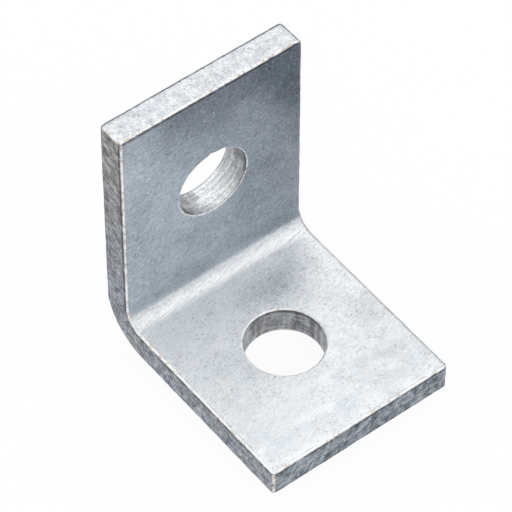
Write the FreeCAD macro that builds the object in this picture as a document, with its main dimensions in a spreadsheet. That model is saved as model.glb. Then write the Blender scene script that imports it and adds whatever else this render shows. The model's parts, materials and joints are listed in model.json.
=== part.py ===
"""Strut angle fitting: a flat bar with two bolt holes, bent square.

The fitting is one piece of hot-rolled flat bar. It is cut to length, given a bolt
hole in each leg, bent to a right angle and hot-dip galvanised. It bolts one strut
channel square to another, or hangs a load from a channel.

The frame, in millimetres: the origin is the centre of the base leg's hole on the
underside of that leg. +X runs along the base leg to its free end, +Y runs across
the width, and +Z runs up the upright leg.
"""
import FreeCAD, Part
import math
import os
import Sketcher

NODE = "strut_angle"

# The driving dimensions, in millimetres, with what each one measures.
SIZES = [
    ("width", 41.3, "width of the bar, the same as the strut channel"),
    ("thickness", 6.35, "thickness of the bar"),
    ("base_length", 50.8, "base leg, from the back of the upright to its free end"),
    ("upright_height", 57.2, "upright leg, from the underside of the base to its top"),
    ("bend_inside", 4.0, "radius inside the bend"),
    ("base_hole_bore", 15.5, "diameter of the hole in the base leg"),
    ("base_hole_setback", 23.0, "centre of that hole to the free end of the base leg"),
    ("upright_hole_bore", 15.5, "diameter of the hole in the upright leg"),
    ("upright_hole_drop", 24.6, "centre of that hole to the top of the upright leg"),
    ("corner_round", 0.9, "radius of the four cut corners, seen square to each leg"),
    ("edge_round", 0.6, "radius worn and dipped along every outside edge"),
    ("rim_round", 0.35, "radius round both rims of each hole"),
]

# How far a point may lie from a plane and still count as on it.
ON_PLANE = 1e-4


def make_sheet(doc):
    """Put each driving dimension in the spreadsheet, named by an alias."""
    sheet = doc.addObject("Spreadsheet::Sheet", "sizes")
    for row, (name, value, meaning) in enumerate(SIZES, start=1):
        sheet.set("A%d" % row, name)
        sheet.set("B%d" % row, str(value))
        sheet.setAlias("B%d" % row, name)
        sheet.set("C%d" % row, meaning)
    doc.recompute()
    return sheet


def origin_plane(body, role):
    """Return one of the body's own origin planes."""
    return next(item for item in body.Origin.OriginFeatures if item.Role == role)


def new_sketch(body, name, role):
    """Add a sketch on one of the body's own origin planes."""
    sketch = body.newObject("Sketcher::SketchObject", name)
    sketch.AttachmentSupport = [(origin_plane(body, role), "")]
    sketch.MapMode = "FlatFace"
    return sketch


def bind(sketch, name, constraint, expression):
    """Add a named constraint whose value comes from the spreadsheet."""
    index = sketch.addConstraint(constraint)
    sketch.renameConstraint(index, name)
    sketch.setExpression("Constraints." + name, expression)


def draw_section(sketch, size):
    """Draw the bent bar's section: two legs joined by two arcs on one centre."""
    back = size.base_hole_setback - size.base_length
    front = size.base_hole_setback
    face = back + size.thickness
    centre_x = face + size.bend_inside
    centre_z = size.thickness + size.bend_inside
    outside = size.thickness + size.bend_inside

    def point(x, z):
        return FreeCAD.Vector(x, z, 0)

    def line(start, end):
        return sketch.addGeometry(Part.LineSegment(point(*start), point(*end)), False)

    def bend(radius):
        circle = Part.Circle(point(centre_x, centre_z), FreeCAD.Vector(0, 0, 1), radius)
        quarter = Part.ArcOfCircle(circle, math.pi, 1.5 * math.pi)
        return sketch.addGeometry(quarter, False)

    upright_back = line((back, size.upright_height), (back, centre_z))
    outer_bend = bend(outside)
    underside = line((centre_x, 0), (front, 0))
    free_end = line((front, 0), (front, size.thickness))
    base_top = line((front, size.thickness), (centre_x, size.thickness))
    inner_bend = bend(size.bend_inside)
    upright_face = line((face, centre_z), (face, size.upright_height))
    top_end = line((face, size.upright_height), (back, size.upright_height))

    # The point numbers: 1 is an element's start, 2 its end, 3 an arc's centre.
    rule = Sketcher.Constraint
    sketch.addConstraint([
        rule("Tangent", upright_back, 2, outer_bend, 1),
        rule("Tangent", outer_bend, 2, underside, 1),
        rule("Coincident", underside, 2, free_end, 1),
        rule("Coincident", free_end, 2, base_top, 1),
        rule("Tangent", base_top, 2, inner_bend, 2),
        rule("Tangent", inner_bend, 1, upright_face, 1),
        rule("Coincident", upright_face, 2, top_end, 1),
        rule("Coincident", top_end, 2, upright_back, 1),
        rule("Coincident", outer_bend, 3, inner_bend, 3),
        rule("Vertical", upright_back),
        rule("Horizontal", underside),
        rule("Vertical", free_end),
        rule("Horizontal", base_top),
        rule("Vertical", upright_face),
        rule("Horizontal", top_end),
        rule("PointOnObject", underside, 1, -1),
    ])
    bind(sketch, "thickness",
         rule("DistanceY", free_end, 1, free_end, 2, size.thickness), "sizes.thickness")
    bind(sketch, "inside_radius",
         rule("Radius", inner_bend, size.bend_inside), "sizes.bend_inside")
    bind(sketch, "hole_to_end",
         rule("DistanceX", -1, 1, underside, 2, front), "sizes.base_hole_setback")
    bind(sketch, "base_length",
         rule("DistanceX", upright_back, 1, underside, 2, size.base_length),
         "sizes.base_length")
    bind(sketch, "upright_height",
         rule("DistanceY", underside, 2, upright_back, 1, size.upright_height),
         "sizes.upright_height")


def draw_hole(sketch, bore, bore_expression, rise, rise_expression):
    """Draw a hole on the middle of the width, at a height up the sketch."""
    circle = Part.Circle(FreeCAD.Vector(0, rise, 0), FreeCAD.Vector(0, 0, 1), bore / 2)
    hole = sketch.addGeometry(circle, False)
    bind(sketch, "bore", Sketcher.Constraint("Diameter", hole, bore), bore_expression)
    if rise_expression:
        sketch.addConstraint(Sketcher.Constraint("PointOnObject", hole, 3, -2))
        bind(sketch, "rise", Sketcher.Constraint("DistanceY", -1, 1, hole, 3, rise),
             rise_expression)
    else:
        sketch.addConstraint(Sketcher.Constraint("Coincident", hole, 3, -1, 1))


def cut_hole(body, sketch, name, reverse):
    """Cut a sketched hole through its leg and check that it took metal away."""
    before = body.Tip.Shape.Volume
    pocket = body.newObject("PartDesign::Pocket", name)
    pocket.Profile = sketch
    pocket.Type = "ThroughAll"
    pocket.Reversed = reverse
    sketch.Document.recompute()
    if not pocket.Shape.Volume < before:
        raise RuntimeError(name + " cut nothing")
    return pocket


def round_edges(body, size, name, wanted, radius_expression):
    """Round the edges that a test picks out, by a radius from the spreadsheet."""
    base = body.Tip
    names = ["Edge%d" % number
             for number, edge in enumerate(base.Shape.Edges, start=1) if wanted(size, edge)]
    fillet = body.newObject("PartDesign::Fillet", name)
    fillet.Base = (base, names)
    fillet.setExpression("Radius", radius_expression)
    body.Document.recompute()
    return fillet


def at_leg_end(size, place):
    """Tell whether a point lies on the free end of either leg."""
    return (abs(place.x - size.base_hole_setback) < ON_PLANE
            or abs(place.z - size.upright_height) < ON_PLANE)


def depth_in_bar(size, place):
    """Measure how far a point lies inside the bar's back, round the bend as well.

    It is 0 on the back and the underside, and the thickness on the two inner faces.
    """
    back = size.base_hole_setback - size.base_length
    outside = size.thickness + size.bend_inside
    x = place.x - (back + outside)
    z = place.z - outside
    if x < 0 and z < 0:
        return outside - math.hypot(x, z)
    return min(x, z) + outside


def middle_of(edge):
    return edge.valueAt((edge.FirstParameter + edge.LastParameter) / 2)


def is_corner(size, edge):
    """Pick the four edges that run through the thickness at the legs' ends."""
    middle = middle_of(edge)
    return (abs(abs(middle.y) - size.width / 2) < ON_PLANE
            and at_leg_end(size, middle)
            and abs(edge.Length - size.thickness) < ON_PLANE)


def is_outline(size, edge):
    """Pick the edges that run round the bar's back and round its inner face.

    The lines across the width where the bend starts and ends aren't edges to round.
    """
    middle = middle_of(edge)
    depth = depth_in_bar(size, middle)
    on_skin = min(abs(depth), abs(depth - size.thickness)) < ON_PLANE
    across_bend = abs(middle.y) < ON_PLANE and not at_leg_end(size, middle)
    return on_skin and not across_bend


def is_hole_rim(size, edge):
    """Pick the closed circles, which are the rims of the holes."""
    return edge.isClosed() and isinstance(edge.Curve, Part.Circle)


def make_fitting(doc, size):
    """Build the bent, drilled and rounded bar."""
    body = doc.addObject("PartDesign::Body", NODE)
    body.Label = NODE

    section = new_sketch(body, "section", "XZ_Plane")
    draw_section(section, size)
    doc.recompute()
    bar = body.newObject("PartDesign::Pad", "bent_bar")
    bar.Profile = section
    bar.Midplane = True
    bar.setExpression("Length", "sizes.width")
    doc.recompute()

    round_edges(body, size, "cut_corners", is_corner, "sizes.corner_round")
    round_edges(body, size, "worn_edges", is_outline, "sizes.edge_round")

    base_hole = new_sketch(body, "base_hole", "XY_Plane")
    draw_hole(base_hole, size.base_hole_bore, "sizes.base_hole_bore", 0, None)
    doc.recompute()
    cut_hole(body, base_hole, "base_bore", True)

    rise = size.upright_height - size.upright_hole_drop
    upright_hole = new_sketch(body, "upright_hole", "YZ_Plane")
    # This plane's own axes run along Y and up Z.
    draw_hole(upright_hole, size.upright_hole_bore, "sizes.upright_hole_bore",
              rise, "sizes.upright_height - sizes.upright_hole_drop")
    doc.recompute()
    cut_hole(body, upright_hole, "upright_bore", False)

    round_edges(body, size, "hole_rims", is_hole_rim, "sizes.rim_round")
    return body


def check(doc, bodies):
    """Stop if any object of the document failed, or a solid isn't sound."""
    for item in doc.Objects:
        if "Invalid" in item.State or "Error" in item.State:
            raise RuntimeError("%s failed: %s" % (item.Label, item.State))
    for body in bodies:
        shape = body.Shape
        if shape.isNull() or not shape.isValid() or len(shape.Solids) != 1:
            raise RuntimeError(body.Label + " isn't one sound solid")


def main():
    doc = FreeCAD.newDocument("strut_angle_fitting")
    size = make_sheet(doc)
    fitting = make_fitting(doc, size)
    doc.recompute()
    check(doc, [fitting])
    os.makedirs("parts", exist_ok=True)
    fitting.Shape.exportStep("parts/%s.step" % fitting.Label)
    box = fitting.Shape.optimalBoundingBox(False, False)
    print("%s: %.2f x %.2f x %.2f mm, %.3f cm3, %d faces"
          % (fitting.Label, box.XLength, box.YLength, box.ZLength,
             fitting.Shape.Volume / 1000, len(fitting.Shape.Faces)))


main()
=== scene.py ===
# %% [markdown]
# # A strut angle fitting
#
# The real fitting is a short length of thick flat bar. It was cut off, drilled, bent
# square and dipped in molten zinc. This notebook dresses the CAD model of it for a
# render: one bent plate with a satin, mottled, bluish zinc skin.
#
# The CAD model comes first, as a frame that nothing here moves or resizes. Its box and
# its mounts give the plate's sizes and its holes, so the skin follows them.

# %% Load the frame
import json
import math

import bpy
import numpy as np
from mathutils import Matrix, Vector


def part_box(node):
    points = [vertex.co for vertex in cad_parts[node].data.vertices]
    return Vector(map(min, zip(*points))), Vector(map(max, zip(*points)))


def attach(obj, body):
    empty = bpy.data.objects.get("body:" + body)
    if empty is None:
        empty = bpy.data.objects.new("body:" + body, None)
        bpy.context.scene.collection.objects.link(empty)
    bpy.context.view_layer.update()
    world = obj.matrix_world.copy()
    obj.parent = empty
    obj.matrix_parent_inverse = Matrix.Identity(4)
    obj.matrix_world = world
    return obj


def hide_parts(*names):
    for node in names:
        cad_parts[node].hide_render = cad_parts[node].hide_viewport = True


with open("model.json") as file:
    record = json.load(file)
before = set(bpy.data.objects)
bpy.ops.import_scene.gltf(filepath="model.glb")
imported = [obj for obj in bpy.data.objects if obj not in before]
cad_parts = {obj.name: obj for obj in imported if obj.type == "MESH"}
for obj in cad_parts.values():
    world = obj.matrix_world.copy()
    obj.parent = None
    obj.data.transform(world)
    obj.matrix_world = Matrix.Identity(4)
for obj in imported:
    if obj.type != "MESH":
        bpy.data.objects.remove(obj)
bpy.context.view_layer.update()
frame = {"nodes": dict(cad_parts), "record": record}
print("CAD nodes:", sorted(frame["nodes"]))

# %% [markdown]
# ## The sizes of the plate
#
# All lengths on the plate are in millimetres, and only the finished skin is turned into
# Blender's metres. The box of the CAD node gives the outside sizes. The mounts give
# the thickness and both holes. Only the radii of the bend and of the edges aren't in
# the frame, so they are named here.

# %% Read the plate's sizes from the frame
MM = 0.001
NODE = "strut_angle"

mounts = {mount["name"]: mount for mount in frame["record"]["mounts"]}
low, high = (np.array(corner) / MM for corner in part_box(NODE))

WIDTH = high[1] - low[1]
THICKNESS = mounts["base_top"]["pos_m"][2] / MM
HOLE_RADIUS = mounts["base_hole"]["dims"]["r_mm"]
HOLE_HEIGHT = mounts["upright_hole"]["pos_m"][2] / MM

BEND_INSIDE = 4.0
CORNER_ROUND = 0.9
EDGE_ROUND = 0.6
RIM_ROUND = 0.35

BEND_OUTSIDE = BEND_INSIDE + THICKNESS
BASE_RUN = high[0] - low[0] - BEND_OUTSIDE
UPRIGHT_RUN = high[2] - BEND_OUTSIDE
BEND_RUN = (BEND_INSIDE + THICKNESS / 2) * math.pi / 2
FLAT_LENGTH = BASE_RUN + BEND_RUN + UPRIGHT_RUN
print("Plate %.2f x %.2f mm, %.2f mm long when flat" % (WIDTH, THICKNESS, FLAT_LENGTH))

# %% [markdown]
# ## Folding a flat bar
#
# A bent plate is hard to draw in space but easy to draw flat, as the maker has it
# before the press. So each point gets three flat coordinates: u along the bar from the
# base leg's free end, y across it, and w up through the thickness from the outside of
# the bend. A single formula then folds the whole bar. A Bend modifier could do it too,
# but a formula puts each point exactly where the CAD has it.

# %% Fold flat coordinates into place
def fold(flat):
    """Fold points (u, y, w) of the flat bar to places (x, y, z).

    Up to the bend, x falls as u grows and z is w. Round the bend, the point circles
    the bend's centre at radius BEND_OUTSIDE - w, through a turn that grows from 0 to
    90 degrees with u. After it, z grows with u and x is the back plus w.
    """
    u, y, w = flat.T
    turn = np.clip((u - BASE_RUN) / BEND_RUN, 0, 1) * math.pi / 2
    still_to_go = BASE_RUN - np.minimum(u, BASE_RUN)
    climbed = np.maximum(u - BASE_RUN - BEND_RUN, 0)
    radius = BEND_OUTSIDE - w
    x = low[0] + BEND_OUTSIDE + still_to_go - radius * np.sin(turn)
    z = BEND_OUTSIDE + climbed - radius * np.cos(turn)
    return np.stack([x, y, z], axis=1)


BASE_HOLE_U = high[0] - mounts["base_hole"]["pos_m"][0] / MM
UPRIGHT_HOLE_U = BASE_RUN + BEND_RUN + HOLE_HEIGHT - BEND_OUTSIDE
HOLES_U = (BASE_HOLE_U, UPRIGHT_HOLE_U)
print("Hole centres along the flat bar: %.2f and %.2f mm" % HOLES_U)

# %% [markdown]
# ## The grid on the two broad faces
#
# A fine even grid of squares takes dents, waves and worn edges as real shape, and it
# shades without creases. A round hole doesn't fit a square grid, so a square patch is
# left out round each hole. It is filled by a ring that turns from a square outside to
# a circle inside. Grid lines also fall where the bend starts and ends.

# %% Lay out the grid lines
STEP = 0.35
PATCH_HALF = 10.5
PATCH_CELLS = round(2 * PATCH_HALF / STEP)
CORNER_CELLS = 3
INSET = EDGE_ROUND
CORNER_INSET = CORNER_ROUND - EDGE_ROUND


def grid_lines(stops):
    """Return lines through the stops, evenly spaced and about one step apart.

    The number of cells between two stops is their distance over the step, rounded.
    The first and the last stretch are the corners and get their own number.
    """
    counts = [max(1, round(span / STEP)) for span in np.diff(stops)]
    counts[0] = counts[-1] = CORNER_CELLS
    parts = [np.linspace(start, end, count, endpoint=False)
             for start, end, count in zip(stops, stops[1:], counts)]
    return np.concatenate(parts + [stops[-1:]])


half = WIDTH / 2 - INSET
u_lines = grid_lines([INSET, INSET + CORNER_INSET,
                      BASE_HOLE_U - PATCH_HALF, BASE_HOLE_U + PATCH_HALF,
                      BASE_RUN, BASE_RUN + BEND_RUN,
                      UPRIGHT_HOLE_U - PATCH_HALF, UPRIGHT_HOLE_U + PATCH_HALF,
                      FLAT_LENGTH - INSET - CORNER_INSET, FLAT_LENGTH - INSET])
y_lines = grid_lines([-half, -half + CORNER_INSET, -PATCH_HALF,
                      PATCH_HALF, half - CORNER_INSET, half])
print("Grid of %d by %d lines" % (len(u_lines), len(y_lines)))

# %% [markdown]
# ## Surfaces as loose quads
#
# Each patch below is an array of points on a grid of two parameters. The helper turns
# such an array into quads with all their corners written out. Patches made this way
# may meet in any order: the quads are thrown together at the end and points that
# coincide are welded.

# %% Turn a grid of points into quads
def quads_of(points, closed=False):
    """Cut an array of shape (rows, columns, 3) into quads of shape (cells, 4, 3).

    A cell's corners are its own point and its neighbours one row down, one down and
    one across, and one across. A closed grid joins its last column to its first.
    """
    if closed:
        points = np.concatenate([points, points[:, :1]], axis=1)
    corners = [points[:-1, :-1], points[1:, :-1], points[1:, 1:], points[:-1, 1:]]
    return np.stack([corner.reshape(-1, 3) for corner in corners], axis=1)


def nearest_centre(u, y):
    """Clip points to the box that has the centres of the corner circles as corners."""
    return (np.clip(u, INSET + CORNER_INSET, FLAT_LENGTH - INSET - CORNER_INSET),
            np.clip(y, -half + CORNER_INSET, half - CORNER_INSET))


def round_the_corners(u, y):
    """Pull the square corners of the grid onto quarter circles.

    Inside the corner's small square, a point keeps its direction from the circle's
    centre, and its distance becomes the larger of its two offsets. The square's rim
    lands on the circle, and its two inner sides stay where they are.
    """
    centre_u, centre_y = nearest_centre(u, y)
    du, dy = u - centre_u, y - centre_y
    reach = np.hypot(du, dy)
    scale = np.maximum(abs(du), abs(dy)) / np.where(reach > 0, reach, 1)
    return centre_u + du * scale, centre_y + dy * scale


def broad_face(level):
    """Make the quads of one broad face, without the patches round the holes."""
    u, y = np.meshgrid(u_lines, y_lines, indexing="ij")
    u, y = round_the_corners(u, y)
    quads = quads_of(np.stack([u, y, np.full_like(u, level)], axis=-1))
    middle = quads.mean(axis=1)
    in_patch = np.zeros(len(quads), bool)
    for hole_u in HOLES_U:
        in_patch |= ((abs(middle[:, 0] - hole_u) < PATCH_HALF)
                     & (abs(middle[:, 1]) < PATCH_HALF))
    return quads[~in_patch]


print("One broad face has %d quads before its holes" % len(broad_face(0)))

# %% [markdown]
# ## The rings round the holes
#
# A hole's rim has to be a true circle, even close up. Each ring starts on the square
# patch's outline, at the grid's own points, and slides to evenly spaced points on the
# circle. The rings are closer near the hole, where the rim catches the light.

# %% Fill the patches with rings
RING_CELLS = 9
RING_CROWDING = 1.5


def square_outline():
    """Walk round the patch's square from one corner, with the grid's own spacing."""
    side = np.linspace(-PATCH_HALF, PATCH_HALF, PATCH_CELLS, endpoint=False)
    edge = np.full_like(side, PATCH_HALF)
    u = np.concatenate([edge, -side, -edge, side])
    y = np.concatenate([side, edge, -side, -edge])
    return np.stack([u, y], axis=1)


def circle_outline(radius):
    """Walk round a circle with as many points, from the direction of that corner."""
    count = 4 * PATCH_CELLS
    angle = -math.pi / 4 + np.arange(count) * 2 * math.pi / count
    return radius * np.stack([np.cos(angle), np.sin(angle)], axis=1)


def ring_face(hole_u, level):
    """Blend the square outline into the rim: (1 - t) of one plus t of the other.

    t goes from 0 to 1. A power above 1 slows it near the rim, so the rings crowd there.
    """
    t = 1 - (1 - np.linspace(0, 1, RING_CELLS + 1)) ** RING_CROWDING
    outer, inner = square_outline(), circle_outline(HOLE_RADIUS + RIM_ROUND)
    rings = outer * (1 - t)[:, None, None] + inner * t[:, None, None]
    level_row = np.full(rings.shape[:2] + (1,), level)
    points = np.concatenate([rings + [hole_u, 0], level_row], axis=2)
    return quads_of(points, closed=True)


print("Points round each rim:", 4 * PATCH_CELLS)

# %% [markdown]
# ## The walls: sides, ends and bores
#
# The narrow faces and the bores are the same kind of thing: an outline carried from
# one broad face to the other along a rounded profile. The profile leaves the face as a
# quarter circle, runs straight, and comes back as a quarter circle.

# %% Carry the outlines through the thickness
WALL_CELLS = 15
ROUND_CELLS = 4


def wall_profile(radius):
    """Return how far the wall stands out, and its level, from one face to the other.

    On the quarter circle at angle a, it stands out by radius * sin a, at a level of
    radius * (1 - cos a).
    """
    angle = np.linspace(0, math.pi / 2, ROUND_CELLS + 1)
    out = radius * np.sin(angle)
    level = radius * (1 - np.cos(angle))
    straight = np.linspace(radius, THICKNESS - radius, WALL_CELLS + 1)[1:-1]
    outs = np.concatenate([out, np.full(len(straight), radius), out[::-1]])
    levels = np.concatenate([level, straight, (THICKNESS - level)[::-1]])
    return outs, levels


def carry(outline, outward, radius):
    """Carry an outline of (u, y) points along the wall profile, out along outward."""
    outs, levels = wall_profile(radius)
    plan = outline[None] + outward[None] * outs[:, None, None]
    level_row = np.broadcast_to(levels[:, None, None], plan.shape[:2] + (1,))
    return quads_of(np.concatenate([plan, level_row], axis=2), closed=True)


def border_outline():
    """Walk round the broad face's border, and give each point's outward direction.

    On a straight side the direction is square to it. On a corner it points away from
    the centre of the corner's circle.
    """
    ends_u, ends_y = (u_lines[0], u_lines[-1]), (y_lines[0], y_lines[-1])
    u = np.concatenate([np.full(len(y_lines) - 1, ends_u[0]), u_lines[:-1],
                        np.full(len(y_lines) - 1, ends_u[1]), u_lines[:0:-1]])
    y = np.concatenate([y_lines[:0:-1], np.full(len(u_lines) - 1, ends_y[0]),
                        y_lines[:-1], np.full(len(u_lines) - 1, ends_y[1])])
    centre_u, centre_y = nearest_centre(u, y)
    away = np.stack([u - centre_u, y - centre_y], axis=1)
    outward = away / np.linalg.norm(away, axis=1, keepdims=True)
    return np.stack(round_the_corners(u, y), axis=1), outward


border, border_outward = border_outline()
print("Points round the border:", len(border))

# %% [markdown]
# ## Welding the skin
#
# All the patches go into one list of quads. Points that round to the same tenth of a
# micrometre become one point. The skin is then closed, which a mesh for printing or
# physics needs, and smooth shading runs across the joins between patches.

# %% Weld the patches into one closed skin
WELD = 1e-4


def turned(quads):
    """Turn quads over, so that their front faces the other way."""
    return quads[:, ::-1]


def weld(quads):
    """Give coinciding corners one number: find the distinct rounded coordinates."""
    keys = np.round(quads.reshape(-1, 3) / WELD).astype(np.int64)
    _, first, number = np.unique(keys, axis=0, return_index=True, return_inverse=True)
    return quads.reshape(-1, 3)[first], number.reshape(-1, 4)


patches = [broad_face(THICKNESS), turned(broad_face(0)),
           turned(carry(border, border_outward, EDGE_ROUND))]
for hole_u in HOLES_U:
    rim = circle_outline(HOLE_RADIUS + RIM_ROUND)
    towards_axis = -circle_outline(1)
    patches.append(turned(ring_face(hole_u, THICKNESS)))
    patches.append(ring_face(hole_u, 0))
    patches.append(carry(rim + [hole_u, 0], towards_axis, RIM_ROUND))
flat, faces = weld(np.concatenate(patches))


def volume_of(points, quads):
    """Add the signed volume of each quad's two triangles and the origin."""
    a, b, c, d = (points[quads[:, k]] for k in range(4))
    return (np.cross(a, b) * c + np.cross(a, c) * d).sum() / 6


edges = np.sort(np.concatenate([faces[:, [k, (k + 1) % 4]] for k in range(4)]), axis=1)
_, uses = np.unique(edges, axis=0, return_counts=True)
print("Skin: %d points, %d quads, %d open edges, volume %.1f mm3"
      % (len(flat), len(faces), (uses != 2).sum(), volume_of(flat, faces)))

# %% [markdown]
# ## What the hot work left behind
#
# The real bar isn't perfect. Rolling and zinc leave long, faint waves, and shears and
# tumbling leave rough cut ends and nicked edges. These are modelled as real shape. Each
# is a depth, in millimetres, that the skin moves inwards, so the outside size holds.
#
# Chance has to give the same result on each run, so all the waves come from one
# seeded table of numbers, read smoothly between its cells.

# %% Make smooth chance from a seeded table
SEED = 4
TABLE_SIDE = 64
LAYER_SHIFT = 7.31

chance = np.random.default_rng(SEED)
TABLE = chance.random((TABLE_SIDE,) * 3) * 2 - 1


def waves(places, size, layer=0):
    """Return smooth values from -1 to 1 that change over a given size, in mm.

    A place's cell has eight corners in the table. Each corner counts by how near it
    is, eased by t * t * (3 - 2t) along each axis. Each layer reads the table elsewhere.
    """
    cells = places / size + layer * LAYER_SHIFT
    corner = np.floor(cells).astype(int)
    part = cells - corner
    ease = part * part * (3 - 2 * part)
    value = np.zeros(len(places))
    for step in np.ndindex(2, 2, 2):
        share = np.prod(np.where(step, ease, 1 - ease), axis=1)
        a, b, c = ((corner + step) % TABLE_SIDE).T
        value += share * TABLE[a, b, c]
    return value


def layered_waves(places, size, layers=3):
    """Add waves at the size, half of it, a quarter and so on, each half as strong."""
    return sum(waves(places, size / 2 ** k, k) / 2 ** k for k in range(layers))


def ease_between(start, end, value):
    """Go from 0 at the start to 1 at the end, with level ends: t * t * (3 - 2t)."""
    t = np.clip((value - start) / (end - start), 0, 1)
    return t * t * (3 - 2 * t)


print("Table of %d numbers" % TABLE.size)

# %% [markdown]
# ## Which face a point is on
#
# A side, a cut end, a bore and a worn edge each need their own finish. While the bar
# is flat, the direction that the skin faces there tells them apart. The answers are
# kept as shares from 0 to 1. They steer the dents here, and the material later.

# %% Measure the share of each kind of face
# A point this close to a bore's wall, in millimetres, belongs to the hole.
HOLE_REACH = 2.0


def outward_directions(points, quads):
    """Average the facing of the quads round each point: the cross of their diagonals."""
    corner = [points[quads[:, k]] for k in range(4)]
    facing = np.cross(corner[2] - corner[0], corner[3] - corner[1])
    total = np.stack([np.bincount(quads.ravel(), np.repeat(facing[:, axis], 4),
                                  len(points)) for axis in range(3)], axis=1)
    return total / np.linalg.norm(total, axis=1, keepdims=True)


facing = outward_directions(flat, faces)
u, y, w = flat.T
from_rim = np.min([np.hypot(u - hole_u, y) for hole_u in HOLES_U], axis=0) - HOLE_RADIUS
from_side = WIDTH / 2 - abs(y)
from_end = np.minimum(u, FLAT_LENGTH - u)
from_border = np.minimum(from_side, from_end)
from_face = np.minimum(w, THICKNESS - w)
from_edge = np.minimum(np.hypot(from_border, from_face), np.hypot(from_rim, from_face))

wall = ease_between(0.5, 0.95, 1 - abs(facing[:, 2]))
near_hole = from_rim < HOLE_REACH
shares = {
    "side": wall * ~near_hole * ease_between(0.3, 0.7, abs(facing[:, 1])),
    "cut_end": wall * ~near_hole * ease_between(0.3, 0.7, abs(facing[:, 0])),
    "bore": wall * near_hole,
    "edge": 1 - ease_between(0.25, 1.0, from_edge),
}


def print_shares(*names):
    """Print the mean of each named share, which is how much of the skin it covers."""
    for name in names:
        print("%-10s covers %4.1f%% of the points" % (name, 100 * shares[name].mean()))


print_shares(*shares)

# %% [markdown]
# ## Dull zinc, painted shade and a painted highlight
#
# On the real fitting the upright is darker than the base, most of all towards one top
# corner, and the inside of the bend has a bright band. The dark could be left to the
# light, but a plain studio doesn't make it, so it is painted shade: a share that the
# colour follows, with some dull zinc in its patches. The bright band is a painted
# highlight. The painted shade starts at a soft line in the bend and grows up and across
# the upright. A few broad patches are added, and waves make their outlines wander.

# %% Place the dull and the bright zones
BACK_FADE = 12.0
PATCH_WANDER = 2.5
# Each patch has its middle along and across, its reach along and across, and how much
# darker it makes the zinc, by dull zinc and painted shade. The lengths are in
# millimetres on the flat bar.
SHADE_AND_DULL_PATCHES = [
    (96, -2, 7, 14, 0.14),
    (16, 19, 22, 10, 0.20),
    (35.5, 7, 3.2, 7, 0.33),
    (51, 2, 3.5, 16, 0.10),
    (62, -2, 5, 8, 0.09),
    (39, -4, 6, 7, -0.10),
]

inside = ease_between(THICKNESS * 0.3, THICKNESS * 0.7, w)
rise_inside = ease_between(BASE_RUN + BEND_RUN * 0.55, BASE_RUN + BEND_RUN * 0.78, u)
rise_on_back = ease_between(BASE_RUN, BASE_RUN + BEND_RUN + BACK_FADE, u)
on_upright = inside * rise_inside + (1 - inside) * rise_on_back
shares["upright"] = on_upright

# Painted shade: darker up the upright and across it towards +Y, up to one top corner.
climb = y + 0.5 * (u - UPRIGHT_HOLE_U + HOLE_HEIGHT - THICKNESS)
darker = 0.46 + 0.30 * ease_between(2, 26, climb) + 0.24 * ease_between(26, 42, climb)
dull_and_painted_shade = on_upright * darker + 0.06 * layered_waves(flat, 8)
wander_u = PATCH_WANDER * waves(flat, 5)
wander_y = PATCH_WANDER * waves(flat, 6, 1)
for middle_u, middle_y, reach_u, reach_y, strength in SHADE_AND_DULL_PATCHES:
    gap_u = (u - middle_u + wander_u) / reach_u
    gap_y = (y - middle_y + wander_y) / reach_y
    dull_and_painted_shade += strength * np.exp(-gap_u ** 2 - gap_y ** 2)
shares["dull_and_painted_shade"] = np.clip(dull_and_painted_shade, 0, 1)

# The bend share is a painted highlight: a light, streaky band inside the bend.
turn_share = ((u - BASE_RUN) / BEND_RUN + 0.05 * layered_waves(flat * [1, 1, 0], 2.5)
              + 0.05 * layered_waves(flat * [2.5, 0.8, 0], 0.9))
shares["bend"] = (inside * ease_between(-0.06, 0.18, turn_share)
                  * (1 - ease_between(0.54, 0.66, turn_share)))
print_shares("upright", "dull_and_painted_shade", "bend")

# %% [markdown]
# ## A painted highlight in the upright's hole
#
# The lower side of the hole in the upright is painted bright and smooth: a painted
# highlight on its wall. The share fades with the angle round the hole, and waves pull
# it a little longer here and shorter there.

# %% Place the painted highlight in the upright's hole
BORE_HIGHLIGHT_ANGLE = -1.20
BORE_HIGHLIGHT_SPREAD = 0.95

hole_angle = np.arctan2(u - UPRIGHT_HOLE_U, y)
off_centre = (hole_angle - BORE_HIGHLIGHT_ANGLE) / BORE_HIGHLIGHT_SPREAD
ragged = 0.6 * off_centre * waves(flat, 1.2)
bore_highlight_here = near_hole * (u > BASE_RUN) * np.exp(-off_centre ** 2 - ragged)
bore_highlight_here = np.clip(bore_highlight_here, 0, 1)
shares["bore_highlight"] = shares["bore"] * bore_highlight_here
print_shares("bore_highlight")

# %% [markdown]
# ## Painted highlights and shade along the edges
#
# Zinc is thin on a rounded edge and handling polishes it, so near edges show a light line
# of worn zinc, with a painted highlight on it and a dark line of painted shade beside it.
# Edges that turn away show only a thin dark line of painted shade. Real rounding gives
# some of this. The rest is placed by how level the skin is there: level is 1 on a broad
# face, 0 on a wall, and in between on the rounding. Which edges are near is judged from
# the front, where the side at -Y faces the camera. The lines stay there from every other
# view.
#
# The distance from the border is kept as well, for a line that runs beside it. Where
# there is no such line, it is set too large for one.

# %% Place the lines along the edges
FAR_LIGHT = 0.3
FAR_DARK = 0.75
NO_RIM = 5.0


def band(start, end, fade, value):
    """Rise from 0 to 1 over a fade at the start of a range, and fall again at its end."""
    return (ease_between(start, start + fade, value)
            * (1 - ease_between(end - fade, end, value)))


level_share = abs(facing[:, 2])
inside_bend = w > THICKNESS / 2
on_top_end = facing[:, 0] > abs(facing[:, 1])
top_rim = on_top_end & ~near_hole
far_side = inside_bend & ~near_hole & (y > 0) & (from_side < from_end)
corner = wall * ~near_hole * ease_between(0.25, 0.55, abs(facing[:, :2]).min(axis=1))

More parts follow.
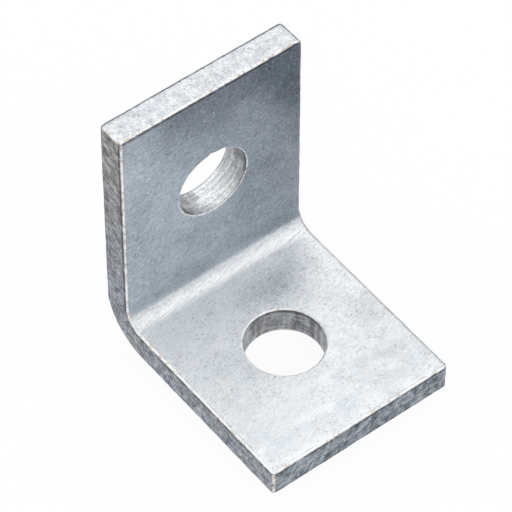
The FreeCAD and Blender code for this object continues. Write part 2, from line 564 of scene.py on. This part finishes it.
# Painted highlight with some wear: the light line on near edges, and a weaker one on the
# far side. The dark line beside it is painted shade.
near_face = band(0.56, 0.998, 0.08, level_share)
near_wall = ((1 - ease_between(0.42, 0.64, level_share))
             * (1 - ease_between(0.6, 0.95, from_edge)))
light = np.where(top_rim, near_wall, near_face) * inside_bend
# The vertical corners at -Y get a painted highlight, those at +Y a line of painted shade.
light = np.maximum(light, corner * (y < 0))
far_light = FAR_LIGHT * band(0.80, 0.998, 0.06, level_share)
shares["edge_wear_and_highlight"] = np.where(far_side, far_light, light)

top_dark = band(0.50, 1.2, 0.15, level_share) * (1 - ease_between(0.45, 0.75, from_end))
dark = np.where(top_rim, top_dark, near_wall)
shares["edge_painted_shade"] = (dark * inside_bend * (1 - ease_between(0.6, 1.1, from_edge))
                       * (1 - bore_highlight_here))

# Painted shade: a thin dark line on the edges that turn away.
far_line = far_side * band(0.35, 0.97, 0.08, level_share)
behind = ~inside_bend * np.where(on_top_end, band(0.02, 0.90, 0.18, level_share),
                                 band(0.02, 0.68, 0.13, level_share))
turned_away = (behind + FAR_DARK * far_line) * ~near_hole
shares["outline"] = np.maximum(turned_away * (1 - ease_between(0.55, 1.0, from_edge)),
                               corner * (y > 0))
distances = {"rim_gap": np.where(inside_bend & ~near_hole, from_border, NO_RIM)}
print_shares("edge_wear_and_highlight", "edge_painted_shade", "outline")

# %% [markdown]
# ## Waves, sheared ends and nicks
#
# The shear that cut the bar leaves two zones on each end: a rubbed band with slanting
# marks, then a coarser band where the last of the metal broke. A ragged line parts
# them. The sides keep slanting mill marks. Along the edges, the zinc is uneven, and
# knocks have left small notches.
#
# Displace modifiers could do this too, one for each kind of mark. Adding the depths up
# and moving each point once keeps the outside size sure. In the sums below, the number
# before a wave is its height and the last number in it is its size, in millimetres.

# %% Move the skin inwards
MILL_SLOPE = 0.9
SHEAR_SLOPE = -0.5
MARK_STRETCH = 6
NICKS = 60


def slanted(along, rise, slope):
    """Turn two coordinates by a slope, in radians, and stretch the second one.

    The two are along * cos + rise * sin, and (rise * cos - along * sin) / stretch.
    """
    across = along * math.cos(slope) + rise * math.sin(slope)
    length = rise * math.cos(slope) - along * math.sin(slope)
    return np.stack([across, length / MARK_STRETCH, 0 * across], axis=1)


def notches(count, radius, depth):
    """Press round notches into the edges: depth * exp(-(distance / radius) ** 2)."""
    on_edge = np.flatnonzero(shares["edge"] > 0.9)
    centres = flat[chance.choice(on_edge, count)]
    pressed = np.zeros(len(flat))
    for centre in centres:
        size = chance.uniform(*radius)
        gap = np.linalg.norm(flat - centre, axis=1)
        pressed += chance.uniform(*depth) * np.exp(-(gap / size) ** 2)
    return pressed


roll_waves = 0.010 * (1 + waves(flat, 9)) + 0.004 * (1 + layered_waves(flat, 2.6))
mill_marks = 0.018 * (1 + layered_waves(slanted(u, w, MILL_SLOPE), 0.8))
shear_marks = 0.014 * (1 + layered_waves(slanted(y, w, SHEAR_SLOPE), 0.7))
break_line = (THICKNESS * 0.47 + 0.35 * waves(flat * [0, 1, 0], 1.6)
              + 0.2 * waves(flat, 0.6))
break_zone = ease_between(-0.2, 0.25, break_line - w)
distances["above_break"] = w - break_line
broken = break_zone * (0.05 + 0.03 * (1 + layered_waves(flat, 0.9)))
worn = 0.04 * (1 + layered_waves(flat, 1.7))
turn_marks = 0.010 * (1 + waves(flat * [0.3, 0.3, 4], 1.5))

depth = (roll_waves + shares["side"] * mill_marks
         + shares["cut_end"] * (shear_marks + broken)
         + shares["edge"] * worn * ~near_hole + shares["bore"] * turn_marks
         + notches(NICKS, (0.2, 0.6), (0.04, 0.14)))
print("%d of %d depths pointed outwards, by %.4f mm at most, and were set to 0"
      % ((depth < 0).sum(), len(depth), max(0, -depth.min())))
depth = np.maximum(depth, 0)
folded = fold(flat)
skin_facing = -outward_directions(folded, faces)
skin = (folded - skin_facing * depth[:, None]) * MM
print("Moved inwards by %.3f mm on average, %.2f mm at most"
      % (depth.mean(), depth.max()))

# %% [markdown]
# ## The mesh itself
#
# The points and quads go into Blender as they are. Folding mirrors the bar, so the
# quads are turned over first. The flat coordinates, the shares and the distances ride
# along as attributes, so a pattern in the material can run with the bar and round the
# bend.

# %% Put the skin into Blender
mesh = bpy.data.meshes.new("zinc_skin")
mesh.from_pydata(skin, [], faces[:, ::-1])
mesh.update()
mesh.shade_smooth()
places = mesh.attributes.new("flat", "FLOAT_VECTOR", "POINT")
places.data.foreach_set("vector", flat.ravel())
for name, values in (shares | distances).items():
    mesh.attributes.new(name, "FLOAT", "POINT").data.foreach_set("value", values)

fitting = bpy.data.objects.new("zinc_skin", mesh)
bpy.context.scene.collection.objects.link(fitting)
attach(fitting, "root")
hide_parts(NODE)
print("Skin volume: %.2f cm3" % (volume_of(skin / MM, faces[:, ::-1]) / 1000))

# %% [markdown]
# ## The zinc finish
#
# Hot-dip zinc is metal with a satin surface. It is bluish and light on the broad faces
# and darker on the cut ones, partly by their own finish and partly by painted shade, with
# fine streaks across the bar, small pits and brown traces along the edges. It could be
# several materials, one for each kind of face, but the real coating is one coat. So one
# material has all of it, and the shares pick what it shows where. Some shares paint
# shade and highlights into the colour.
#
# A material is a graph of nodes. A few helpers write it as plain sums: each one adds a
# node and returns its output.

# %% Helpers for the nodes
zinc = bpy.data.materials.new("zinc_finish_and_painted_light")
zinc.use_nodes = True
tree = zinc.node_tree
tree.nodes.clear()


def node(kind, sockets=None, **options):
    """Add a shader node, set its options, and fill its sockets by value or by link."""
    new = tree.nodes.new("ShaderNode" + kind)
    for name, value in options.items():
        setattr(new, name, value)
    for name, value in (sockets or {}).items():
        if isinstance(value, bpy.types.NodeSocket):
            tree.links.new(value, new.inputs[name])
        else:
            new.inputs[name].default_value = value
    return new


def maths(operation, *values):
    """Combine values or sockets with one Math node."""
    return node("Math", dict(enumerate(values)), operation=operation).outputs[0]


def both(first, second):
    """Multiply two shares, or a share by how strong it is."""
    return maths("MULTIPLY", first, second)


def distance_from(value, middle):
    """Measure how far a value is from a middle: the absolute difference."""
    return maths("ABSOLUTE", maths("SUBTRACT", value, middle))


def remap(value, start, end, low=0.0, high=1.0):
    """Go from low at the start to high at the end of a value's range, eased."""
    return node("MapRange", {"Value": value, "From Min": start, "From Max": end,
                             "To Min": low, "To Max": high},
                interpolation_type="SMOOTHSTEP").outputs["Result"]


def attribute(name, output="Fac"):
    """Read one of the numbers that ride along with the skin."""
    return node("Attribute", attribute_name=name).outputs[output]


print("Material:", zinc.name)

# %% [markdown]
# ## Patterns on the flat bar
#
# Every pattern is noise that reads the flat coordinates, so it follows the bend. A
# Mapping node stretches it to a size in millimetres along, across and through the bar.
# Clouds are the broad mottling of zinc, grain is its fine tooth, and streaks and fibres
# are the slanting marks from rolling and draining. Noise in space would be simpler, but
# its marks would cut straight through the bend.

# %% Make the patterns of the broad faces
# The streaks run across the bar but lean by this turn, in radians.
ACROSS = (0, 0, -0.36)

place = attribute("flat", "Vector")
along = node("SeparateXYZ", {0: place}).outputs["X"]


def mottle(size, turn=(0, 0, 0), detail=3.0, shift=0.0, rough=0.55):
    """Noise on the flat bar: size in mm along each axis, after a turn in radians."""
    mapped = node("Mapping", {"Vector": place, "Location": (shift, shift, shift),
                              "Rotation": turn, "Scale": size}, vector_type="TEXTURE")
    return node("TexNoise", {"Vector": mapped.outputs[0], "Scale": 1.0,
                             "Detail": detail, "Roughness": rough}).outputs["Fac"]


clouds = mottle((3.6, 5.0, 3.6), detail=6.0, rough=0.62)
grain = mottle((0.40, 0.50, 0.40), detail=2.0, shift=9.0, rough=0.6)
streaks = mottle((0.28, 6.0, 3.0), ACROSS, detail=3.0, shift=3.0)
fibres = mottle((0.33, 1.1, 0.6), ACROSS, detail=4.0, shift=13.0, rough=0.7)
print("Patterns: %d nodes so far" % len(tree.nodes))

# %% [markdown]
# ## Mixing colours
#
# Real metal keeps its hue where it gets darker, so most marks multiply the colour
# instead of laying grey over it. These helpers do both. They could be node groups, but
# plain functions keep the numbers beside the marks that they belong to.

# %% Helpers for colour
WHITE = (1.0, 1.0, 1.0)


def tint(share, first, second):
    """Mix two colours by a share: first * (1 - share) + second * share.

    Each is a socket or (red, green, blue).
    """
    colours = [colour if isinstance(colour, bpy.types.NodeSocket) else (*colour, 1)
               for colour in (first, second)]
    return node("Mix", {0: share, 6: colours[0], 7: colours[1]},
                data_type="RGBA").outputs[2]


def weigh(*pairs):
    """Add patterns, each times its weight."""
    total = maths("MULTIPLY", *pairs[0])
    for pattern, weight in pairs[1:]:
        total = node("Math", {0: pattern, 1: weight, 2: total},
                     operation="MULTIPLY_ADD").outputs[0]
    return total


def multiply(colour, by):
    """Multiply a colour by another colour or by a grey, and stop at white."""
    return node("Mix", {0: 1.0, 6: colour, 7: by}, data_type="RGBA",
                blend_type="MULTIPLY", clamp_result=True).outputs[2]


def darken(colour, share, by):
    """Multiply a colour by 1 - share + share * another colour."""
    return multiply(colour, tint(share, WHITE, by))


def shade(colour, strength, *pairs):
    """Multiply a colour by 1 + strength * the sum of weight * (pattern - 0.5)."""
    weights = sum(weight for pattern, weight in pairs)
    offset = maths("SUBTRACT", weigh(*pairs), weights / 2)
    return multiply(colour, maths("MULTIPLY_ADD", offset, strength, 1.0))


print("Colours are mixed as red, green and blue from 0 to 1, and white is", WHITE)

# %% [markdown]
# ## Colour of the broad faces
#
# The zinc on the two legs is a light bluish grey, in soft clouds of two tones, with some
# bluer patches. Towards the bend it is cooler and lighter, which is painted light. The
# share of dull zinc and painted shade turns it towards a dark blue-grey, and the bend's
# painted highlight goes over it in streaks. The grain comes last and is coarser where
# that share is high or near the bend.

# %% Colour the broad faces
BEND_FOOT = 38.0

broad = tint(remap(clouds, 0.34, 0.66), (0.83, 0.86, 0.885), (0.93, 0.945, 0.955))
blue_patches = remap(mottle((4.5, 7.0, 4.5), detail=4.0, shift=31.0), 0.50, 0.68)
blue_strength = remap(distance_from(along, BEND_FOOT), 3.0, 8.0, 0.10, 0.42)
broad = tint(both(blue_patches, blue_strength), broad, (0.68, 0.75, 0.805))
# Painted light: the base turns lighter and cooler towards the bend.
broad = tint(both(remap(along, 16.0, 32.0), 0.75), broad, (0.94, 0.975, 1.0))
broad = darken(broad, attribute("upright"), (0.90, 0.95, 1.0))
# Painted shade, with some dull zinc: this share turns the zinc towards a dark blue-grey.
broad = tint(attribute("dull_and_painted_shade"), broad, multiply(broad, (0.14, 0.162, 0.188, 1)))

bend_highlight_share = attribute("bend")
# Painted highlight: the light colour of the band inside the bend.
bend_highlight_colour = tint(remap(streaks, 0.35, 0.6), (0.72, 0.755, 0.785), (0.88, 0.90, 0.915))
broad = tint(bend_highlight_share, broad, bend_highlight_colour)

coarseness = weigh((remap(along, 4.0, 34.0, 0.48, 0.90), 1.0),
                   (attribute("upright"), 0.15), (attribute("dull_and_painted_shade"), 0.45))
broad = shade(broad, coarseness, (fibres, 0.95), (grain, 0.50), (streaks, 0.45))
print("Broad faces: %d nodes so far" % len(tree.nodes))

# %% [markdown]
# ## Colour of the cut faces
#
# The sides keep dark, slanting marks from the mill and the base's free end keeps those
# of the shear. Their dark zinc is partly their own rough finish and partly painted shade.
# The upright's top end faces up, and painted light makes it nearly white. The bores have
# rings from the drill under dark smears, and their dark is partly painted shade of the
# hole's wall. Each is a mix of a dark and a light zinc, by marks and by patches. The
# marks on the sides lean one way on the base and the other way on the upright, because
# the bend turned the bar.

# %% Colour the cut faces
SIDE_SIZE = (0.34, 9.0, 2.4)
BASE_SLANT, UPRIGHT_SLANT, END_SLANT = (0, 0.50, 0), (0, -0.55, 0), (0.61, 0, 0)

at_top_end = remap(along, FLAT_LENGTH - 3, FLAT_LENGTH - 2.5)
side_marks = node("Mix", {0: attribute("upright"),
                          2: mottle(SIDE_SIZE, BASE_SLANT, 6.0, 5.0, 0.75),
                          3: mottle(SIDE_SIZE, UPRIGHT_SLANT, 6.0, 5.0, 0.75)}).outputs[0]
end_marks = mottle((9.0, 2.0, 0.32), END_SLANT, detail=6.0, shift=7.0, rough=0.75)
bore_rings = mottle((9.0, 9.0, 0.34), detail=4.0, shift=1.0, rough=0.65)
bore_smears = mottle((1.6, 1.6, 9.0), detail=3.0, shift=2.0)
patches_tone = mottle((1.5, 1.5, 1.5), detail=5.0, shift=11.0, rough=0.65)


def cut_colour(marks, marks_weight, dark, light):
    """Mix dark and light zinc by weight * marks + (1 - weight) * patches, with grain."""
    tone = weigh((marks, marks_weight), (patches_tone, 1 - marks_weight))
    return shade(tint(remap(tone, 0.405, 0.595), dark, light), 1.0, (grain, 1.1))


# The sides: dark partly by their rough cut finish and partly as painted shade.
side_colour = cut_colour(side_marks, 0.56, (0.10, 0.11, 0.13), (0.50, 0.51, 0.53))
cool_to_warm = tint(remap(along, 50, 95), (0.93, 1.0, 1.09), (1.04, 1.0, 0.98))
side_colour = multiply(side_colour, cool_to_warm)

# The base's free end: dark partly by its shear marks and partly as painted shade.
rough_end = cut_colour(end_marks, 0.54, (0.08, 0.108, 0.14), (0.40, 0.465, 0.535))
# Painted light: the top end faces up, so it is made nearly white.
lit_top_end = tint(remap(patches_tone, 0.38, 0.62), (0.70, 0.73, 0.77),
                  (0.85, 0.87, 0.895))
lit_top_end = shade(lit_top_end, 1.0, (grain, 0.5), (end_marks, 0.9))

# The bores: dark partly as painted shade of the hole's wall.
bore_tone = weigh((bore_rings, 0.5), (bore_smears, 0.5))
bore_colour = cut_colour(bore_tone, 0.8, (0.068, 0.076, 0.090), (0.40, 0.42, 0.455))
# Painted highlight: the lower side of the upright's bore is nearly white.
bore_highlight_colour = cut_colour(bore_rings, 0.8, (0.60, 0.65, 0.69), WHITE)
bore_colour = tint(attribute("bore_highlight"), bore_colour, bore_highlight_colour)

side_share, end_share = attribute("side"), attribute("cut_end")
bore_share, edge_share = attribute("bore"), attribute("edge")
colour = tint(side_share, broad, side_colour)
colour = tint(end_share, colour, tint(at_top_end, rough_end, lit_top_end))
colour = tint(bore_share, colour, bore_colour)
print("Cut faces: %d nodes so far" % len(tree.nodes))

# %% [markdown]
# ## Pits and flecks
#
# Zinc sets with tiny pits where gas escaped, and with dark and pale flecks of dross and
# oxide. A Voronoi node measures the distance to scattered points, and a pit is where
# that is under a small radius. Noise changes the radius, so the pits come in loose
# groups. Real holes would need a far finer mesh for no more effect.

# %% Add pits and flecks
pit_places = node("Mapping", {"Vector": place, "Scale": (1.5, 1.5, 1.5)},
                  vector_type="TEXTURE").outputs[0]
pit_gap = node("TexVoronoi", {"Vector": pit_places, "Scale": 1.0}).outputs["Distance"]
pit_size = remap(mottle((2.2, 2.2, 2.2), detail=2.0, shift=17.0), 0.5, 0.75, 0.0, 0.17)
pits = maths("LESS_THAN", pit_gap, pit_size)
colour = darken(colour, both(pits, 0.55), (0.25, 0.26, 0.28))

fleck_noise = mottle((0.30, 0.55, 0.32), ACROSS, detail=2.0, shift=71.0, rough=0.6)
fleck_strength = maths("MULTIPLY_ADD", attribute("upright"), 0.20, 0.20)
dark_flecks = both(remap(fleck_noise, 0.59, 0.68), fleck_strength)
colour = darken(colour, dark_flecks, (0.45, 0.47, 0.50))
colour = tint(remap(fleck_noise, 0.41, 0.32, 0.0, 0.30), colour, (0.93, 0.95, 0.97))
print("Pits and flecks: %d nodes so far" % len(tree.nodes))

# %% [markdown]
# ## Wrinkles and scratches
#
# Handling leaves hair-thin scratches in a few directions, and the zinc wrinkles as it
# sets. Noise crosses its middle value along thin, wandering lines, so a narrow band
# round 0.5 draws them. Noise that is long in one direction makes them scratches. A
# second noise keeps them to some places only.

# %% Add wrinkles and scratches
def thin_lines(size, turn, shift, width, spread):
    """Draw lines where noise crosses its middle, and only where a second one is high."""
    across = distance_from(mottle(size, turn, 2.0, shift), 0.5)
    where = remap(mottle((2.6, 2.6, 2.6), (0, 0, 0), 2.0, shift + 40),
                  spread, spread + 0.08)
    return both(remap(across, 0.0, width, 1.0, 0.0), where)


wrinkles = thin_lines((0.9, 1.4, 0.9), (0.3, 0.2, 0.5), 51.0, 0.022, 0.50)
hairlines = maths("MAXIMUM",
                  thin_lines((1.2, 30.0, 9.0), (0, 0, 0.35), 57.0, 0.010, 0.52),
                  thin_lines((1.5, 30.0, 9.0), (0, 0, -0.9), 61.0, 0.010, 0.55))
dark_hairlines = thin_lines((1.1, 22.0, 9.0), (0, 0, 0.55), 67.0, 0.010, 0.54)
side_lines = thin_lines((0.9, 9.0, 8.0), UPRIGHT_SLANT, 81.0, 0.022, 0.44)
end_lines = thin_lines((9.0, 5.0, 0.9), END_SLANT, 85.0, 0.022, 0.44)
cut_lines = maths("MAXIMUM", both(side_lines, side_share), both(end_lines, end_share))

colour = darken(colour, both(wrinkles, 0.55), (0.30, 0.32, 0.35))
hairline_strength = maths("MULTIPLY_ADD", attribute("dull_and_painted_shade"), -0.24, 0.32)
colour = tint(both(hairlines, hairline_strength), colour, (0.95, 0.96, 0.97))
colour = darken(colour, both(dark_hairlines, 0.55), (0.45, 0.48, 0.52))
colour = tint(both(cut_lines, 0.60), colour, (0.82, 0.83, 0.85))
print("Wrinkles and scratches: %d nodes so far" % len(tree.nodes))

# %% [markdown]
# ## Stains and the break line
#
# Where the coat is thin, on the cut faces and in the bores, a little iron shows through
# as brown. On the sheared end, the line between the two zones is a ragged lip with a
# painted highlight on it and painted shade in the hollow under it. Both read the
# distance above the break, so they follow the real step in the mesh.

# %% Add stains and the break line
HOLLOW_DEPTH = 0.35

brown_patches = remap(mottle((1.4, 1.4, 1.4), detail=4.0, shift=23.0), 0.47, 0.60)
# Brown stains stay off the painted highlight in the bore.
bore_without_highlight = maths("SUBTRACT", bore_share, attribute("bore_highlight"))
brown = both(brown_patches, weigh((bore_without_highlight, 0.20), (side_share, 0.22),
                                  (end_share, 0.14)))
colour = tint(brown, colour, (0.36, 0.27, 0.20))

above_break = attribute("above_break")
rough_share = both(end_share, maths("SUBTRACT", 1.0, at_top_end))
# Painted highlight along the lip.
lip_highlight = both(remap(maths("ABSOLUTE", above_break), 0.05, 0.20, 1.0, 0.0),
           remap(patches_tone, 0.42, 0.52))
colour = tint(both(both(lip_highlight, rough_share), 0.60), colour, (0.74, 0.68, 0.60))
# Painted shade in the hollow under the lip.
hollow_shade = remap(distance_from(above_break, -HOLLOW_DEPTH), 0.05, 0.25, 1.0, 0.0)
colour = tint(both(both(hollow_shade, rough_share), 0.45), colour, (0.07, 0.08, 0.10))
print("Stains and break line: %d nodes so far" % len(tree.nodes))

# %% [markdown]
# ## Worn edges, painted highlights and painted shade
#
# The lines placed along the edges get their colours here. The light ones are bare zinc
# with tan traces and a painted highlight, and the dark ones are painted shade. A faint
# brown trace runs just inside the border of the inner faces. Even colours would do for a
# view from far off, but noise breaks each line up, so that none runs on like a drawn one.

# %% Colour the edges
TRACE_GAP = 0.62

tan_patches = mottle((1.4, 1.4, 1.4), detail=5.0, shift=43.0, rough=0.7)
tan_patches = remap(tan_patches, 0.52, 0.60)
wear_and_highlight_colour = tint(tan_patches, (1.0, 0.995, 0.985), (0.66, 0.56, 0.47))
wear_and_highlight_gaps = remap(mottle((1.3, 1.3, 1.3), detail=4.0, shift=91.0), 0.36, 0.44, 0.10, 1.0)
edge_wear_and_highlight = both(attribute("edge_wear_and_highlight"), wear_and_highlight_gaps)
edge_painted_shade = both(attribute("edge_painted_shade"), remap(patches_tone, 0.62, 0.48, 0.35, 1.0))
# Painted shade beside the near edges, then the light line of worn zinc and painted
# highlight.
colour = tint(both(edge_painted_shade, 0.80), colour, (0.05, 0.055, 0.07))
colour = tint(both(edge_wear_and_highlight, 0.90), colour, wear_and_highlight_colour)

trace_line = remap(distance_from(attribute("rim_gap"), TRACE_GAP), 0.04, 0.11, 1.0, 0.0)
trace_gaps = remap(mottle((1.6, 1.6, 1.6), detail=4.0, shift=47.0), 0.44, 0.54, 0.15, 1.0)
colour = tint(both(both(trace_line, trace_gaps), 0.62), colour, (0.40, 0.33, 0.28))
# Painted shade along the edges that turn away.
outline = both(attribute("outline"), remap(patches_tone, 0.60, 0.46, 0.50, 0.92))
colour = tint(outline, colour, (0.05, 0.06, 0.09))
print("Edges: %d nodes so far" % len(tree.nodes))

# %% [markdown]
# ## Gloss and bump
#
# Satin zinc has a roughness near a half. It is a little glossier under the bend's painted
# highlight, in the bores and on the edges, and duller up the upright. The fine tooth that
# catches the light could be mesh, but it is only two hundredths of a millimetre high, so
# it is a bump. The zinc is mostly metal. The rest acts as plain paint and stands for the
# thin oxide on it.

# %% Set the gloss and the bump
METAL_SHARE = 0.85
BUMP_HEIGHT = 0.018 * MM

cut_share = maths("MAXIMUM", maths("MAXIMUM", side_share, end_share), bore_share)
upright_dullness = remap(along, BASE_RUN + BEND_RUN * 0.6, FLAT_LENGTH * 0.75, 0.0, 0.07)
gloss = weigh((remap(clouds, 0.38, 0.62, 0.56, 0.48), 1.0), (upright_dullness, 1.0),
              (bend_highlight_share, -0.08), (cut_share, 0.06), (bore_share, -0.22),
              (edge_share, -0.04))
cut_marks = weigh((both(side_marks, side_share), 2.2), (both(end_marks, end_share), 1.8),
                  (both(bore_rings, bore_share), 0.8))
height = weigh((grain, 0.9), (streaks, 0.35), (clouds, 2.0), (pits, -0.6),
               (wrinkles, -0.5), (hairlines, 0.1), (cut_marks, 1.0))
bump = node("Bump", {"Height": height, "Strength": 1.0, "Distance": BUMP_HEIGHT})

shader = node("BsdfPrincipled", {"Base Color": colour, "Roughness": gloss,
                                 "Metallic": METAL_SHARE, "Normal": bump.outputs[0]})
node("OutputMaterial", {"Surface": shader.outputs[0]})
mesh.materials.append(zinc)
print("Finish has %d nodes" % len(tree.nodes))

# %% [markdown]
# ## The floor
#
# The fitting stands on a big pale floor. Painted white alone, it would render a little
# grey, and more light would bleach the zinc. So a Light Path node lets it glow white,
# but only for rays from the camera and for glossy and transmitted ones, which metal and
# glass send out. So the zinc mirrors the same white that the camera sees. Other rays
# meet plain paint, and the glow adds no light to them. A small part of the paint shows
# through the glow and keeps the shadow.
#
# It lies a twentieth of a millimetre below the fitting, so that the two faces don't
# fight for the same place.

# %% Lay the floor
FLOOR_HALF = 3.0
FLOOR_DROP = 0.05 * MM
GLOW_SHARE = 0.93

floor_mesh = bpy.data.meshes.new("floor")
floor_mesh.from_pydata([(-FLOOR_HALF, -FLOOR_HALF, 0), (FLOOR_HALF, -FLOOR_HALF, 0),
                        (FLOOR_HALF, FLOOR_HALF, 0), (-FLOOR_HALF, FLOOR_HALF, 0)], [],
                       [(0, 1, 2, 3)])
floor = bpy.data.objects.new("floor", floor_mesh)
floor.location.z = -FLOOR_DROP
bpy.context.scene.collection.objects.link(floor)

paint = bpy.data.materials.new("floor_paint")
paint.use_nodes = True
tree = paint.node_tree
tree.nodes.clear()
plain = node("BsdfDiffuse", {"Color": (0.90, 0.90, 0.90, 1)})
glow = node("Emission", {"Color": (1, 1, 1, 1), "Strength": 1.0})
rays = node("LightPath").outputs
metal_or_glass = maths("ADD", rays["Is Glossy Ray"], rays["Is Transmission Ray"])
seen = maths("ADD", rays["Is Camera Ray"], metal_or_glass)
mixed = node("MixShader", {0: both(seen, GLOW_SHARE), 1: plain.outputs[0],
                           2: glow.outputs[0]})
node("OutputMaterial", {"Surface": mixed.outputs[0]})
floor_mesh.materials.append(paint)
print("Floor is %.0f m wide" % (2 * FLOOR_HALF))

# %% [markdown]
# ## The light
#
# A metal shows what is round it, so the room matters as much as the lamps. Here it is
# grey at the horizon and white above, as in a tent of white cloth: the upright mirrors
# the grey and the base mirrors the white. Four soft square lamps add a gentle slope of
# light. Each lamp is set by its radiance, the brightness of its face, because that
# doesn't change with its size or distance.

# %% Light the studio
HORIZON, OVERHEAD = (0.45, 0.46, 0.48), WHITE
AIM = Vector((0, 0, 0.02))

world = bpy.data.worlds.new("soft_room")
bpy.context.scene.world = world
world.use_nodes = True
tree = world.node_tree
tree.nodes.clear()
direction = node("TexCoord").outputs["Object"]
rise = node("SeparateXYZ", {0: direction}).outputs["Z"]
room = tint(remap(rise, 0.0, 0.55), HORIZON, OVERHEAD)
soft = node("Background", {"Color": room, "Strength": 1.0})
node("OutputWorld", {"Surface": soft.outputs[0]})


def soft_lamp(name, direction, distance, side, radiance):
    """Hang a square lamp that faces the fitting: power = pi * area * radiance.

    The distance and the side are in metres.
    """
    lamp = bpy.data.lights.new(name, "AREA")
    lamp.size = side
    lamp.energy = math.pi * side * side * radiance
    body = bpy.data.objects.new(name, lamp)
    towards = Vector(direction).normalized()
    body.location = AIM + towards * distance
    body.rotation_euler = towards.to_track_quat("Z", "Y").to_euler()
    bpy.context.scene.collection.objects.link(body)
    print("%-10s %.2f m wide, %.2f W" % (name, side, lamp.energy))


soft_lamp("back_lamp", (-0.8, -0.45, 0.42), 0.9, 0.6, 0.4)
soft_lamp("top_lamp", (-0.1, 0.4, 0.9), 1.0, 1.7, 0.14)
soft_lamp("front_lamp", (0.45, 0.4, 0.8), 1.0, 0.7, 0.12)
soft_lamp("near_lamp", (-0.13, 0.05, 0.24), 0.3, 0.13, 0.3)

# %% [markdown]
# ## The camera
#
# The camera looks down on the near corner from some way off, through a long lens, so
# the fitting's lines stay nearly parallel. Its place and its lens come from fitting the
# known sizes of the plate to where its corners lie in the picture. A focal length in
# pixels becomes one in millimetres by the sensor's width over the picture's.

# %% Set the camera
SENSOR_WIDTH = 36.0
PICTURE_WIDTH = 512
FOCAL_PIXELS = 3908.19
CAMERA_PLACE = np.array([352.455, -280.846, 580.28]) * MM

azimuth, elevation = math.radians(52.13), math.radians(50.60)
back = np.array([math.sin(azimuth) * math.cos(elevation),
                 -math.cos(azimuth) * math.cos(elevation), math.sin(elevation)])
right = np.array([math.cos(azimuth), math.sin(azimuth), 0])
turn = np.eye(4)
turn[:3, :] = np.stack([right, np.cross(back, right), back, CAMERA_PLACE], axis=1)

camera_data = bpy.data.cameras.new("camera")
camera_data.sensor_width = SENSOR_WIDTH
camera_data.lens = FOCAL_PIXELS * SENSOR_WIDTH / PICTURE_WIDTH
camera_data.clip_start = 0.05
camera = bpy.data.objects.new("camera", camera_data)
camera.matrix_world = Matrix(turn.tolist())
bpy.context.scene.collection.objects.link(camera)
bpy.context.scene.camera = camera
bpy.context.scene.view_settings.view_transform = "Standard"
print("Lens %.1f mm, %.2f m from the origin"
      % (camera_data.lens, np.linalg.norm(CAMERA_PLACE)))
